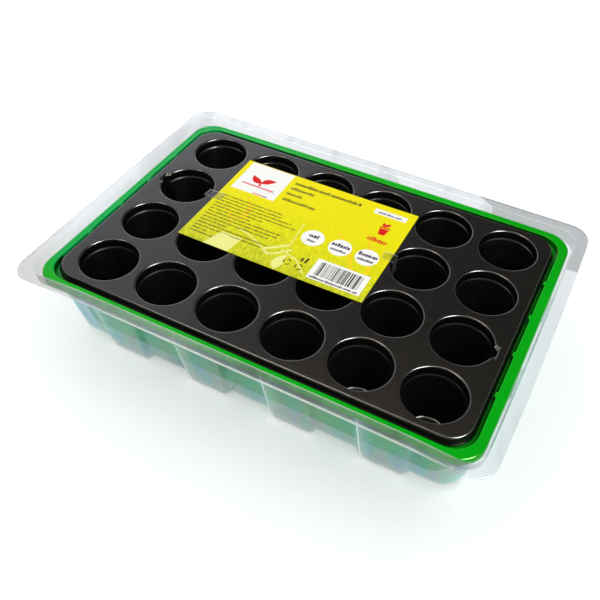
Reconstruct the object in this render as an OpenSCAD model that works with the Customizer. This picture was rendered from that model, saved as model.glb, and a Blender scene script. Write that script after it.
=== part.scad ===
// Mini propagator: a clear dome lid, a drip tray and a plug insert nested for storage.
// The lid is upturned, the tray hangs in it by its turned-down rim, and the insert sits in the
// tray. Origin: centre of the lid's resting face. +X runs along the long side, +Z is up.

/* [Cells] */
// Distance between cell centres, both ways
cell_pitch = 42.8; // [42:0.2:46]
// Number of cells along the long side
cells_long = 6; // [6:2:8]
// Number of cells along the short side
cells_short = 4; // [4:2:6]
// Mouth diameter of a cell
cell_mouth_d = 36.5; // [32:0.5:37]
// Floor diameter of a cell
cell_floor_d = 23; // [16:0.5:28]
// Depth of a cell below the deck
cell_depth = 36.5; // [30:0.5:38]

/* [Insert] */
// Sheet thickness of the insert
insert_wall = 0.6; // [0.5:0.1:0.8]
// Deck left beyond the outermost cell squares, at each short side
deck_margin_x = 3.8; // [3:0.1:6]
// Deck left beyond the outermost cell squares, at each long side
deck_margin_y = 1.7; // [1.6:0.1:6]
// Height of the skirt round the deck
skirt_h = 4; // [3:0.1:4]
// Width of the narrow lip at the skirt's foot
lip_w = 1.5; // [1:0.1:1.5]

/* [Drip tray] */
// Sheet thickness of the tray
tray_wall = 0.6; // [0.5:0.1:0.8]
// Width of the flat rim
tray_rim_w = 6.2; // [5.5:0.1:6.5]
// Height of the tray
tray_h = 47.6; // [42:0.1:49]
// Number of stops on the rim's inner wall, at each short side
stops = 4; // [2:1:4]

/* [Dome lid] */
// Sheet thickness of the lid
dome_wall = 0.5; // [0.4:0.1:0.6]
// Height of the lid
dome_h = 67; // [66:0.5:72]
// Width of the outer flange
flange_w = 6.5; // [5:0.5:9]
// Depth of the roof ribs below the roof panels
rib_drop = 6; // [5:0.5:8]
// Number of roof ribs
ribs = 4; // [3:1:4]

/* [Label and tape] */
// Length of the label card
label_l = 129.5; // [100:0.5:130]
// Width of the label card
label_w = 90; // [60:0.5:91]
// Width of a tape tab
tape_w = 7; // [5:0.5:8]
// How far a tape tab hangs into its cell
tape_hang = 12; // [8:0.5:20]

/* [Hidden] */
$fn = 72;

// Heights above the resting face, from the lid upwards
shoulder_z = dome_h - 9;
deck_z = dome_h - 3;
tray_top_z = deck_z - 1.4;
ledge_z = deck_z - skirt_h - insert_wall - 0.2;

// Half sizes in plan: insert deck, tray rim and lid flange
deck_half = [
    cells_long * cell_pitch / 2 + deck_margin_x,
    cells_short * cell_pitch / 2 + deck_margin_y
];
tray_step_gap = 1.7;
tray_half = deck_half + [1, 1] * (lip_w + tray_step_gap + tray_rim_w) - [0.6, 0.6];
dome_clearance = 2.4;
dome_half = tray_half + [1, 1] * (dome_clearance + flange_w);

// Corner radii in plan
deck_r = 13.7;
tray_r = 15;
dome_r = 13;
dome_roof_r = 17;

// Label and tape positions on the deck
label_x = -19.1;
label_y = 21.7;
label_t = 0.3;
film_t = 0.1;
film_gap = 0.05;

// Steps in each quarter turn of a plan corner
corner_steps = 8;

function mix(a, b, t) = a + (b - a) * t;
function unit(v) = v / norm(v);

// Normal to the left of the segment from p to q
function left_normal(p, q) = unit([p.y - q.y, q.x - p.x]);

// A profile moved sideways by t, with mitred corners
function moved(profile, t) = [
    for (i = [0 : len(profile) - 1])
        let (
            last = len(profile) - 1,
            before = i > 0 ? left_normal(profile[i - 1], profile[i])
                           : left_normal(profile[0], profile[1]),
            after = i < last ? left_normal(profile[i], profile[i + 1])
                             : left_normal(profile[last - 1], profile[last]),
            mitre = (before + after) / (1 + before * after)
        )
        profile[i] + mitre * t
];

// A station is [side, place at the top, place at the foot, outward weight, height weight].
// Sides 0 to 3 are front, right, back and left; sides 4 to 7 are the corners after them.
// The short sides stand further out than the long ones by spread.
function corner_stations(side) = [
    for (i = [0 : corner_steps])
        [side + 4, 90 * (side - 1) + 90 * i / corner_steps, 0, 0, 0]
];
function place(s, half, inset, z, r, taper, spread) =
    let (
        along = mix(s[1], s[2], taper),
        flat = half - [inset - spread, inset],
        sx = s[0] == 4 || s[0] == 5 ? 1 : -1,
        sy = s[0] == 5 || s[0] == 6 ? 1 : -1
    )
    s[0] == 0 ? [along, -flat.y, z] :
    s[0] == 1 ? [flat.x, along, z] :
    s[0] == 2 ? [along, flat.y, z] :
    s[0] == 3 ? [-flat.x, along, z] :
    [sx * (flat.x - r) + r * cos(s[1]), sy * (flat.y - r) + r * sin(s[1]), z];

// Closed shell of one pressed sheet: face_a and face_b are lists of rings of equal length, and
// the floor is closed by strips from the front stations to the back ones and two end panels.
module pressed_sheet(face_a, face_b, front_n, side_n) {
    n = len(face_a[0]);
    rings = len(face_a);
    c = corner_steps + 1;
    back_0 = front_n + c + side_n + c;
    a_floor = (rings - 1) * n;
    b_0 = rings * n;
    b_floor = b_0 + (rings - 1) * n;
    points = [for (ring = concat(face_a, face_b)) each ring];
    wall_a = [
        for (j = [0 : rings - 2], i = [0 : n - 1])
            let (k = (i + 1) % n, p = j * n, q = p + n)
            each [[p + i, p + k, q + k], [p + i, q + k, q + i]]
    ];
    wall_b = [
        for (j = [0 : rings - 2], i = [0 : n - 1])
            let (k = (i + 1) % n, p = b_0 + j * n, q = p + n)
            each [[p + k, p + i, q + k], [q + k, p + i, q + i]]
    ];
    edge = [
        for (i = [0 : n - 1])
            let (k = (i + 1) % n)
            each [[k, i, b_0 + k], [b_0 + k, i, b_0 + i]]
    ];
    strips = [
        for (i = [0 : front_n - 2])
            let (back = back_0 + front_n - 1 - i)
            each [[i, i + 1, back - 1], [i, back - 1, back]]
    ];
    right_end = [for (i = [front_n - 1 : back_0]) i];
    left_end = [for (i = [back_0 + front_n - 1 : n]) i % n];
    floor_faces = concat(strips, [right_end, left_end]);
    floor_a = [for (f = floor_faces) [for (v = f) a_floor + v]];
    floor_b = [for (f = floor_faces) [for (i = [len(f) - 1 : -1 : 0]) b_floor + f[i]]];
    polyhedron(points, concat(wall_a, wall_b, edge, floor_a, floor_b), convexity = 10);
}

// ---- Dome lid, upturned ----

rib_pitch = 59.5;
rib_half_top = 17.6;
rib_half_foot = 12.8;
rib_flank = 3.3;
side_flutes = 2;
side_flute_pitch = 62;
side_flute_half = 14;

function rib_stations(side, c) = [
    for (e = [[-1, 1, 0], [-1, 0, 1], [1, 0, 1], [1, 1, 0]])
        [side, c + e[0] * (rib_half_top + e[1] * rib_flank),
         c + e[0] * (rib_half_foot + e[1] * rib_flank), e[2], e[2]]
];
function flute_stations(side, c) = [
    for (e = [[-1, 1, 0], [-1, 0, 1], [1, 0, 1], [1, 1, 0]])
        let (reach = e[0] * (side_flute_half + e[1] * rib_flank))
        [side, c + reach, c + reach * 0.85, e[2], 0]
];
function turned(list) = [for (i = [len(list) - 1 : -1 : 0]) list[i]];

dome_front = [
    for (i = [0 : ribs - 1]) each rib_stations(0, (i - (ribs - 1) / 2) * rib_pitch)
];
dome_back = [for (s = turned(dome_front)) [2, s[1], s[2], s[3], s[4]]];
dome_right = [
    for (i = [0 : side_flutes - 1])
        each flute_stations(1, (i - (side_flutes - 1) / 2) * side_flute_pitch)
];
dome_left = [for (s = turned(dome_right)) [3, s[1], s[2], s[3], s[4]]];
dome_stations = concat(
    dome_front, corner_stations(0), dome_right, corner_stations(1),
    dome_back, corner_stations(2), dome_left, corner_stations(3)
);

// Profiles run from the flange's edge to the roof as [inset, height], outside face
rim_profile = [
    [0, dome_h - 0.6],
    [flange_w, dome_h - 2.6],
    [flange_w + 0.8, shoulder_z]
];
panel_profile = concat(rim_profile, [
    [flange_w + 10.4, shoulder_z],
    [flange_w + 19, rib_drop + 4],
    [flange_w + 20.4, rib_drop + 1],
    [flange_w + 23, rib_drop]
]);
rib_profile = concat(rim_profile, [
    [flange_w + 7.4, shoulder_z],
    [flange_w + 16.9, 5],
    [flange_w + 18.4, 1.3],
    [flange_w + 22, 0]
]);
dome_radii = [
    dome_r, dome_r - 2, dome_r - 2, dome_r,
    dome_roof_r - 2, dome_roof_r - 3, dome_roof_r - 5
];
dome_taper = [0, 0, 0, 0, 0.85, 0.95, 1];
dome_spread = [0, 0, 0, 5.9, 10.3, 10.3, 10.3];

function dome_rings(panel, rib) = [
    for (j = [0 : len(panel) - 1]) [
        for (s = dome_stations)
            place(s, dome_half, mix(panel[j].x, rib[j].x, s[3]),
                  mix(panel[j].y, rib[j].y, s[4]), dome_radii[j], dome_taper[j],
                  dome_spread[j])
    ]
];

module dome() {
    color([0.86, 0.92, 0.93, 0.35])
        pressed_sheet(
            dome_rings(moved(panel_profile, dome_wall), moved(rib_profile, dome_wall)),
            dome_rings(panel_profile, rib_profile),
            len(dome_front), len(dome_right)
        );
}

// ---- Drip tray ----

stop_pitch = 31.8;
stop_l = 4;
stop_out = 1;

tray_front = [for (x = [-60, -20, 20, 60]) [0, x, x, 0, 0]];
tray_back = [for (s = turned(tray_front)) [2, s[1], s[2], 0, 0]];
tray_right = [
    for (i = [0 : stops - 1], e = [[-0.5, 0], [-0.3, 1], [0.3, 1], [0.5, 0]])
        let (y = (i - (stops - 1) / 2) * stop_pitch + e[0] * stop_l)
        [1, y, y, e[1], 0]
];
tray_left = [for (s = turned(tray_right)) [3, s[1], s[2], s[3], s[4]]];
tray_stations = concat(
    tray_front, corner_stations(0), tray_right, corner_stations(1),
    tray_back, corner_stations(2), tray_left, corner_stations(3)
);

// Upper face of the sheet, from the lip's edge over the rim and down to the floor.
// The third value says how far a stop stands in at that height.
tray_floor_z = tray_top_z - tray_h + tray_wall;
tray_profile = [
    [-0.3, shoulder_z + dome_wall + 0.1, 0],
    [0, tray_top_z - 1.2, 0],
    [0.4, tray_top_z - 0.4, 0],
    [1.3, tray_top_z, 0],
    [tray_rim_w - 1, tray_top_z, 0],
    [tray_rim_w - 0.4, tray_top_z - 0.4, 1],
    [tray_rim_w, ledge_z, 1],
    [tray_rim_w + 4, ledge_z, 0],
    [tray_rim_w + 11.6, tray_floor_z + 2.5, 0],
    [tray_rim_w + 12.4, tray_floor_z + 0.6, 0],
    [tray_rim_w + 14.4, tray_floor_z, 0]
];
tray_radii = [tray_r, tray_r, tray_r, tray_r, 14, 14, 14, 13, 14, 13.5, 12];
tray_spread = [0, 0, 0, 0, 0, 0, 0, 0, 3.6, 3.6, 3.6];

function tray_rings(profile) = [
    for (j = [0 : len(profile) - 1]) [
        for (s = tray_stations)
            place(s, tray_half, profile[j].x + s[3] * stop_out * tray_profile[j].z,
                  profile[j].y, tray_radii[j], 0, tray_spread[j])
    ]
];
flat_tray_profile = [for (p = tray_profile) [p.x, p.y]];

module drip_tray() {
    color([0.02, 0.66, 0.16])
        pressed_sheet(
            tray_rings(flat_tray_profile),
            tray_rings(moved(flat_tray_profile, -tray_wall)),
            len(tray_front), len(tray_right)
        );
}

// ---- Plug insert ----

mouth_r = cell_mouth_d / 2;
floor_r = cell_floor_d / 2;
step_drop = 5.5;
step_in = 0.9;

// Two cells have a finger notch in the outer side of their mouth, half a turn apart
notch_w = 9.5;
notch_out = 2;
notch_depth = 24;
notch_cell = [(cells_long - 1) / 2, -0.5] * cell_pitch;

module cell_places() {
    for (i = [0 : cells_long - 1], j = [0 : cells_short - 1])
        translate([i - (cells_long - 1) / 2, j - (cells_short - 1) / 2] * cell_pitch)
            children();
}

module round_rect(half, r) {
    square([half.x * 2, (half.y - r) * 2], center = true);
    square([(half.x - r) * 2, half.y * 2], center = true);
    for (x = [-1, 1], y = [-1, 1])
        translate([x * (half.x - r), y * (half.y - r)])
            circle(r);
}

// Solid of the cup's outside for grow = insert_wall, and of its hollow for grow = 0
module cup_form(grow, top, foot) {
    rotate_extrude()
        polygon([
            [0, foot],
            [floor_r + grow, foot],
            [mouth_r - step_in + grow, -step_drop - 0.6],
            [mouth_r - 0.2 + grow, -step_drop],
            [mouth_r + grow, top],
            [0, top]
        ]);
}

module notch_form(grow, top) {
    translate([mouth_r - 8, -notch_w / 2 - grow, -notch_depth - grow])
        cube([8 + notch_out + grow, notch_w + 2 * grow, notch_depth + grow + top]);
}

module frame_ring(outer_half, outer_r, inner_half, inner_r, z, h) {
    translate([0, 0, z])
        linear_extrude(h)
            difference() {
                round_rect(outer_half, outer_r);
                round_rect(inner_half, inner_r);
            }
}

module cell_insert() {
    wall = [insert_wall, insert_wall];
    lip = wall + [lip_w, lip_w];
    skirt_z = deck_z - skirt_h - insert_wall;
    color([0.07, 0.07, 0.07])
        difference() {
            union() {
                translate([0, 0, deck_z - insert_wall])
                    linear_extrude(insert_wall)
                        round_rect(deck_half, deck_r);
                frame_ring(deck_half, deck_r, deck_half - wall, deck_r - insert_wall,
                           skirt_z, skirt_h + insert_wall);
                frame_ring(deck_half + lip - wall, deck_r + lip_w, deck_half - wall,
                           deck_r - insert_wall, skirt_z, insert_wall);
                translate([0, 0, deck_z]) {
                    cell_places()
                        cup_form(insert_wall, -insert_wall / 2, -cell_depth - insert_wall);
                    for (turn = [0, 180])
                        rotate([0, 0, turn])
                            translate(notch_cell)
                                notch_form(insert_wall, -insert_wall / 2);
                }
            }
            translate([0, 0, deck_z]) {
                cell_places()
                    cup_form(0, 0.01, -cell_depth);
                for (turn = [0, 180])
                    rotate([0, 0, turn])
                        translate(notch_cell)
                            notch_form(0, 1);
            }
        }
}

// ---- Label card and its two tape tabs ----

module label_card() {
    color([0.87, 0.85, 0.2])
        translate([label_x - label_l / 2, label_y - label_w / 2, deck_z + film_gap])
            cube([label_l, label_w, label_t]);
}

// A tab lies on the label from x = 0 towards -X and hangs down at x = reach
module tape_tab(reach) {
    film_z = deck_z + film_gap + label_t + film_gap;
    translate([-6, -tape_w / 2, film_z])
        cube([6 + reach, tape_w, film_t]);
    translate([reach - film_t, -tape_w / 2, film_z - tape_hang])
        cube([film_t, tape_w, tape_hang + film_t]);
}

tape_cell_y = cell_pitch / 2;
right_cell_x = 1.5 * cell_pitch;
left_cell_x = -2.5 * cell_pitch;

// Inner radius of a cell at the tab's lower end, and how far the tab hangs inside the mouth's edge
cell_slope = (mouth_r - step_in - floor_r) / (cell_depth - step_drop - 0.6);
tape_end_r = mouth_r - step_in - (tape_hang - step_drop - 0.6) * cell_slope;
tape_inset = mouth_r - sqrt(pow(tape_end_r, 2) - pow(tape_w / 2, 2)) + 0.3;

module tape_right() {
    edge_x = label_x + label_l / 2;
    color([0.8, 0.86, 0.88, 0.3])
        translate([edge_x, tape_cell_y, 0])
            tape_tab(right_cell_x - mouth_r + tape_inset - edge_x);
}

module tape_left() {
    edge_x = label_x - label_l / 2;
    color([0.8, 0.86, 0.88, 0.3])
        translate([edge_x, tape_cell_y, 0])
            mirror([1, 0, 0])
                tape_tab(edge_x - left_cell_x - mouth_r + tape_inset);
}

dome();
drip_tray();
cell_insert();
label_card();
tape_left();
tape_right();
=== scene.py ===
"""Looks of the humidity dome tray: sheet pieces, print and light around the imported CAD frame.

Shapes are worked out in millimetres in the frame's axes and turned into metres as each mesh is
made. Front is -Y, right is +X. Materials work in metres, in the same axes.
"""

import math
import random

import bpy
import numpy as np
from mathutils import Matrix, Vector

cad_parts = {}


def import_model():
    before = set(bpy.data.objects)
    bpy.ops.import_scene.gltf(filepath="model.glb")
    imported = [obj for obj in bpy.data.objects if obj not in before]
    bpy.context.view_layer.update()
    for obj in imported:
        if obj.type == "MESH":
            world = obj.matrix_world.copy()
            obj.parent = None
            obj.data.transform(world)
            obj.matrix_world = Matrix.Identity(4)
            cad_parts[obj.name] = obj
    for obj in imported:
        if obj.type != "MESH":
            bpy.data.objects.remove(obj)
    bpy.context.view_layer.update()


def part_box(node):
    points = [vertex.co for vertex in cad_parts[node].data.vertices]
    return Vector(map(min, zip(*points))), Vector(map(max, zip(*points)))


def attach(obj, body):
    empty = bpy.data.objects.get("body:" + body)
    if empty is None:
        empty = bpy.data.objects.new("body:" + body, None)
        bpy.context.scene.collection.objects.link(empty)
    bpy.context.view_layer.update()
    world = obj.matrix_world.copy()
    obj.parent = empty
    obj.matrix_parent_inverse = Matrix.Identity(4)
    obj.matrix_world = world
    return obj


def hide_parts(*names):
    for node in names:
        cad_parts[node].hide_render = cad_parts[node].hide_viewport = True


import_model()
MM = 0.001


def box_mm(node_name):
    """Lowest and highest corner of a CAD node, in millimetres."""
    low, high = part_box(node_name)
    return np.array(low) / MM, np.array(high) / MM


DOME_WALL, TRAY_WALL, INSERT_WALL = 0.5, 0.6, 0.6
RIM_DROP, SHOULDER_DROP, LIP_DROP = 0.48, 8.4, 4.0
dome_high = box_mm("dome")[1]
tray_low, tray_high = box_mm("drip_tray")
insert_high = box_mm("cell_insert")[1]
card_low, card_high = box_mm("label_card")
deck_z = insert_high[2]
lip_z = deck_z - LIP_DROP
rim_z = dome_high[2] - RIM_DROP
shoulder_z = rim_z - SHOULDER_DROP


# ---- Sheet geometry ----

def mix(a, b, t):
    return a + (b - a) * t


def smooth(t):
    t = np.clip(t, 0.0, 1.0)
    return t * t * (3 - 2 * t)


def flat_top(v, half, power=4):
    """1 in the middle of a side, falling to 0 at its ends."""
    return max(0.0, 1 - abs(v / half) ** power)


def rounded(rows, cuts, arc, straight):
    """Rows of control values with each inner corner replaced by a curve that starts cuts[i] before it.

    The first two columns are inset and height, and lengths are measured in them. A curve has arc
    steps, and straight[i] is the number of steps on the segment after row i. The second result
    says which corner each row belongs to and how near its middle the row is, from 0 to 1.
    """
    rows = np.array(rows, float)
    out, bends = [], []
    last = len(rows) - 1
    lengths = np.linalg.norm(rows[1:, :2] - rows[:-1, :2], axis=1)
    start = rows[0]
    for i in range(1, last + 1):
        end = mix(rows[i], rows[i - 1], min(cuts[i] / lengths[i - 1], 0.48))
        for k in range(straight[i - 1]):
            out.append(mix(start, end, k / straight[i - 1]))
            bends.append((0, 0.0))
        if i == last:
            out.append(end)
            bends.append((0, 0.0))
            break
        leave = mix(rows[i], rows[i + 1], min(cuts[i] / lengths[i], 0.48))
        for k in range(arc):
            t = k / arc
            out.append(end * (1 - t) ** 2 + rows[i] * 2 * t * (1 - t) + leave * t * t)
            bends.append((i, 1 - abs(2 * t - 1)))
        start = leave
    return np.array(out), bends


class Sheet:
    """Points in millimetres with how far each carries the painted highlight of a sharp bend, and the
    faces.
    """

    def __init__(self):
        self.points = []
        self.white = []
        self.faces = []

    def add(self, points, white=None):
        start = len(self.points)
        self.points.extend([tuple(p) for p in points])
        self.white.extend(white if white is not None else [0.0] * len(points))
        return list(range(start, start + len(points)))

    def bridge(self, a, b, closed=True):
        n = len(a)
        for i in range(n if closed else n - 1):
            k = (i + 1) % n
            self.faces.append((a[i], a[k], b[k], b[i]))

    def ring(self, points, previous):
        """Adds a closed ring of points inside the previous ring and joins the two."""
        current = self.add(points)
        self.bridge(previous, current)
        return current

    def grid(self, rows):
        for a, b in zip(rows[:-1], rows[1:]):
            self.bridge(a, b, closed=False)

    def warp(self, moved):
        self.points = [moved(*p) for p in self.points]

    def turn_over(self):
        self.faces = [tuple(reversed(face)) for face in self.faces]

    def face_up(self, up):
        """Turns the faces so that, taken together, they look up, or down."""
        points = np.array(self.points)
        total = 0.0
        for face in self.faces:
            ring = points[list(face)]
            after = np.roll(ring, -1, axis=0)
            total += float(np.sum(ring[:, 0] * after[:, 1] - ring[:, 1] * after[:, 0]))
        if (total > 0) != up:
            self.turn_over()


def shade(mesh, sharp):
    """Smooth shading, with edges sharper than the angle in degrees kept hard."""
    for polygon in mesh.polygons:
        polygon.use_smooth = True
    if sharp:
        mesh.set_sharp_from_angle(angle=math.radians(sharp))


def make_object(name, sheet, material, sharp=None):
    mesh = bpy.data.meshes.new(name)
    mesh.from_pydata([(x * MM, y * MM, z * MM) for x, y, z in sheet.points], [], sheet.faces)
    obj = bpy.data.objects.new(name, mesh)
    bpy.context.scene.collection.objects.link(obj)
    mesh.materials.append(material)
    mesh.update()
    shade(mesh, sharp)
    return obj


def thicken(obj, wall, offset, sharp=None, even=False):
    """Gives the sheet its wall and replaces its mesh by the mesh with all modifiers applied."""
    thick = obj.modifiers.new("thick", "SOLIDIFY")
    thick.thickness = wall * MM
    thick.offset = offset
    thick.use_quality_normals = even
    depsgraph = bpy.context.evaluated_depsgraph_get()
    mesh = bpy.data.meshes.new_from_object(obj.evaluated_get(depsgraph))
    old = obj.data
    obj.modifiers.clear()
    obj.data = mesh
    mesh.name = obj.name
    bpy.data.meshes.remove(old)
    shade(mesh, sharp)


def assign(obj, body, stands_for=None):
    """The piece's body, and the CAD node it stands for, which is hidden."""
    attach(obj, body)
    if stands_for:
        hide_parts(stands_for)


def sheet_object(name, sheet, wall, material, up, sharp=35):
    """A closed shell: the sheet's points on its upper or lower face, the other face wall away."""
    sheet.face_up(up)
    obj = make_object(name, sheet, material)
    weld = obj.modifiers.new("weld", "WELD")
    weld.merge_threshold = 0.01 * MM
    # the white attribute carries each point's painted highlight along sharp bends
    white = obj.data.attributes.new("white", "FLOAT", "POINT")
    white.data.foreach_set("value", sheet.white)
    thicken(obj, wall, -1, sharp, even=True)
    return obj


# A station is one place on the outline: side 0 front, 1 right, 2 back, 3 left, 4 to 7 the corners
# after them. It holds its places at the top, foot and roof, and weights: 0 on the panel, 1 on a rib.

CORNER_STEPS = 14


# white is the station's share of the painted highlight along the flanks' bends
def station(side, top, foot=None, roof=None, wall_w=0.0, roof_w=0.0, height_w=None, white=0.0):
    foot = top if foot is None else foot
    roof = foot if roof is None else roof
    height_w = (wall_w, roof_w) if height_w is None else height_w
    return dict(side=side, along=(top, foot, roof), inset_w=(wall_w, roof_w), height_w=height_w,
                white=white)


def corner(side):
    return [station(side + 4, 90 * (side - 1) + 90 * i / CORNER_STEPS)
            for i in range(CORNER_STEPS + 1)]


def outline(front, right):
    """All stations in order: the back and left sides mirror the front and right ones."""
    out = []
    for side, stations in enumerate((front, right, reversed(front), reversed(right))):
        out += [dict(s, side=side) for s in stations] + corner(side)
    return out


def place(s, half, row):
    """A point of the loft at a station, for a row as loft() describes it."""
    panel_inset, panel_z, rib_inset, rib_z, radius, spread, t, u = row
    along = mix(mix(s["along"][0], s["along"][1], t), s["along"][2], u)
    inset = mix(panel_inset, rib_inset, mix(s["inset_w"][0], s["inset_w"][1], u))
    z = mix(panel_z, rib_z, mix(s["height_w"][0], s["height_w"][1], u))
    flat_x = half[0] - inset + spread
    flat_y = half[1] - inset
    side = s["side"]
    if side < 4:
        return ((along, -flat_y, z), (flat_x, along, z), (along, flat_y, z), (-flat_x, along, z))[side]
    sx = 1 if side in (4, 5) else -1
    sy = 1 if side in (5, 6) else -1
    angle = math.radians(s["along"][0])
    return (sx * (flat_x - radius) + radius * math.cos(angle),
            sy * (flat_y - radius) + radius * math.sin(angle), z)


def loft(sheet, stations, half, rows, row_highlight=None, wall_rows=()):
    """Rings of points; a row is [panel inset, panel z, rib inset, rib z, radius, spread, t, u].

    radius is the corners', spread moves the short sides out, t runs from the top to the foot of
    the wall and u from the foot to the roof. Front rows whiten by row_highlight, and the stations'
    own white counts in wall_rows: both are painted highlight along the sheet's bends.
    """
    rings = []
    for j, row in enumerate(rows):
        base = row_highlight[j] if row_highlight else 0.0
        white = [max(base * (s["side"] == 0), s["white"] if j in wall_rows else 0.0)
                 for s in stations]
        rings.append(sheet.add([place(s, half, row) for s in stations], white))
    for a, b in zip(rings[:-1], rings[1:]):
        sheet.bridge(a, b)
    return rings[-1]


def close_floor(sheet, ring, front_n, side_n, cuts):
    """Lines from each front station to the back one, and an end panel at each short side."""
    back_0 = front_n + side_n + 2 * (CORNER_STEPS + 1)
    lines = []
    for i in range(front_n):
        a = ring[i]
        b = ring[back_0 + front_n - 1 - i]
        pa, pb = np.array(sheet.points[a]), np.array(sheet.points[b])
        inner = sheet.add([mix(pa, pb, k / cuts) for k in range(1, cuts)])
        lines.append([a] + inner + [b])
    for left, right in zip(lines[:-1], lines[1:]):
        for k in range(cuts):
            sheet.faces.append((left[k], right[k], right[k + 1], left[k + 1]))
    right_edge = ring[front_n - 1:back_0 + 1]
    sheet.faces.append(tuple(right_edge + lines[-1][-2:0:-1]))
    left_edge = ring[back_0 + front_n - 1:] + [ring[0]]
    sheet.faces.append(tuple(left_edge + lines[0][1:-1]))


# ---- Materials ----

WHITE = (1.0, 1.0, 1.0, 1.0)


class Shader:
    """The cleared node tree of a material or world, with short names for common nodes."""

    def __init__(self, owner, output_kind="ShaderNodeOutputMaterial"):
        owner.use_nodes = True
        self.owner = owner
        self.tree = owner.node_tree
        self.tree.nodes.clear()
        self.output = self.node(output_kind)

    def node(self, kind, inputs=None, **settings):
        """A node with its settings and inputs; an input may be a value or another socket."""
        made = self.tree.nodes.new(kind)
        for key, value in settings.items():
            setattr(made, key, value)
        for key, value in (inputs or {}).items():
            if isinstance(value, bpy.types.NodeSocket):
                self.tree.links.new(value, made.inputs[key])
            else:
                made.inputs[key].default_value = value
        return made

    def finish(self, surface):
        """Makes the shader node the surface and gives back the material or world."""
        self.tree.links.new(surface.outputs[0], self.output.inputs["Surface"])
        return self.owner

    def principled(self, **inputs):
        """Ends in the general surface node; an input's name has _ for each space."""
        named = {key.replace("_", " "): value for key, value in inputs.items()}
        return self.finish(self.node("ShaderNodeBsdfPrincipled", named))

    def space(self, scale=(1.0, 1.0, 1.0), turn=0.0):
        coordinates = self.node("ShaderNodeTexCoord").outputs["Object"]
        return self.node("ShaderNodeMapping", {
            "Vector": coordinates, "Scale": scale, "Rotation": (0.0, 0.0, turn)}).outputs[0]

    def split(self, vector):
        return self.node("ShaderNodeSeparateXYZ", {0: vector}).outputs

    def math(self, operation, a, b=0.0, clamp=False):
        return self.node("ShaderNodeMath", {0: a, 1: b}, operation=operation, use_clamp=clamp).outputs[0]

    def times(self, a, b, clamp=False):
        return self.math("MULTIPLY", a, b, clamp)

    def plus(self, a, b, clamp=False):
        return self.math("ADD", a, b, clamp)

    def above(self, value, limit):
        return self.math("GREATER_THAN", value, limit)

    def span(self, value, low, high, to_low=0.0, to_high=1.0, soft=False):
        """Goes from to_low to to_high as the value goes from low to high, and stays there."""
        return self.node("ShaderNodeMapRange", {
            "Value": value, "From Min": low, "From Max": high, "To Min": to_low, "To Max": to_high,
        }, interpolation_type="SMOOTHSTEP" if soft else "LINEAR").outputs[0]

    def noise(self, vector, scale, detail=3.0, rough=0.5):
        return self.node("ShaderNodeTexNoise", {
            "Vector": vector, "Scale": scale, "Detail": detail, "Roughness": rough}).outputs["Fac"]

    def ramp(self, value, *stops):
        """Colours along the value; a stop is (place, red, green, blue)."""
        made = self.node("ShaderNodeValToRGB", {"Fac": value})
        elements = made.color_ramp.elements
        while len(elements) < len(stops):
            elements.new(0.5)
        for element, (at, *color) in zip(elements, stops):
            element.position = at
            element.color = (*color, 1.0)
        return made.outputs["Color"]

    def mix(self, share, a, b, blend="MIX"):
        """Colour between a and b. The general mix node keeps its colour sockets at 6, 7 and 2."""
        return self.node("ShaderNodeMix", {0: share, 6: a, 7: b},
                         data_type="RGBA", blend_type=blend).outputs[2]

    def blend(self, share, a, b):
        """Shader between a and b."""
        return self.node("ShaderNodeMixShader", {0: share, 1: a.outputs[0], 2: b.outputs[0]})

    def bump(self, height, strength, distance, normal=None):
        inputs = {"Height": height, "Strength": strength, "Distance": distance}
        if normal is not None:
            inputs["Normal"] = normal
        return self.node("ShaderNodeBump", inputs).outputs[0]


def new_shader(name):
    return Shader(bpy.data.materials.new(name))


def flange_clearness(sh, space, clear):
    """What the clear sheet lets through: streaked, with painted shade as a darker patch in two flange
    corners.
    """
    def part(*shares):
        return [clear * share for share in shares]

    x, y, z = sh.split(space)
    streaks = sh.noise(sh.space((1.0, 0.35, 1.0)), 26.0, 3.0, 0.6)
    full = sh.ramp(streaks, (0.34, *part(0.88, 0.88, 0.89)), (0.47, *part(0.985, 1.0, 1.012)),
                   (0.66, *part(1.01, 1.01, 1.02)))
    # painted shade: the near left corner is warmer and a little darker
    near_left_shade = sh.span(sh.times(sh.plus(x, y), -1.0), 0.195, 0.240)
    full = sh.mix(near_left_shade, full, (*part(0.885, 0.875, 0.86), 1.0))
    # painted shade: the far right corner is darker
    shaded = sh.above(sh.plus(sh.times(y, 1.6), x), 0.243)
    shaded = sh.times(shaded, sh.above(z, (shoulder_z + 0.8) * MM))
    shaded = sh.times(shaded, sh.above(y, 0.062))
    return sh.mix(shaded, full, (*part(0.765, 0.78, 0.785), 1.0))


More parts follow.
